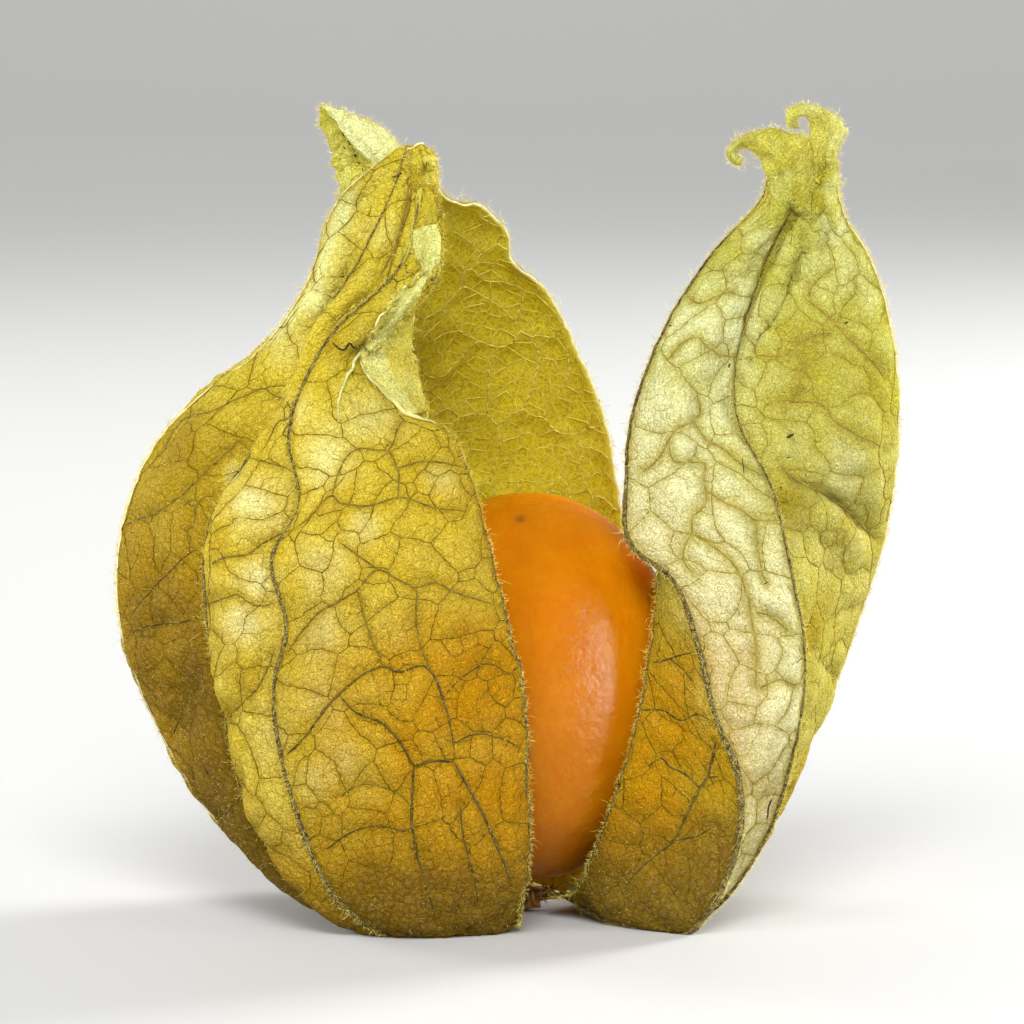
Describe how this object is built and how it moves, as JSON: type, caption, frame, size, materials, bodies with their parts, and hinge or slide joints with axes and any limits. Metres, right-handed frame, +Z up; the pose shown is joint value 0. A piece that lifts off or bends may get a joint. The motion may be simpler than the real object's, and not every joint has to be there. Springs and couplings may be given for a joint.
{
  "type": "physalis berry in its husk",
  "caption": "Ripe physalis (cape gooseberry) standing stem end down in a dry papery husk that is torn open down the front and back.",
  "frame": {"origin": "on the ground under the middle of the whole husk", "axes": "+Z up, +X to the right and -Y to the front, where the husk is torn open and shows the berry"},
  "size_m": [0.039, 0.023, 0.041],
  "materials": {
    "berry_skin": "smooth waxy orange skin",
    "dry_stem": "dry brown stalk",
    "husk_paper": "dry translucent straw-coloured husk with a fine net of veins",
    "husk_paper_pale": "dry translucent pale husk with a fine net of veins"
  },
  "bodies": {
    "root": {"berry": "berry_skin", "stem_stub": "dry_stem", "husk_left": "husk_paper", "husk_right": "husk_paper_pale"}
  },
  "joints": []
}
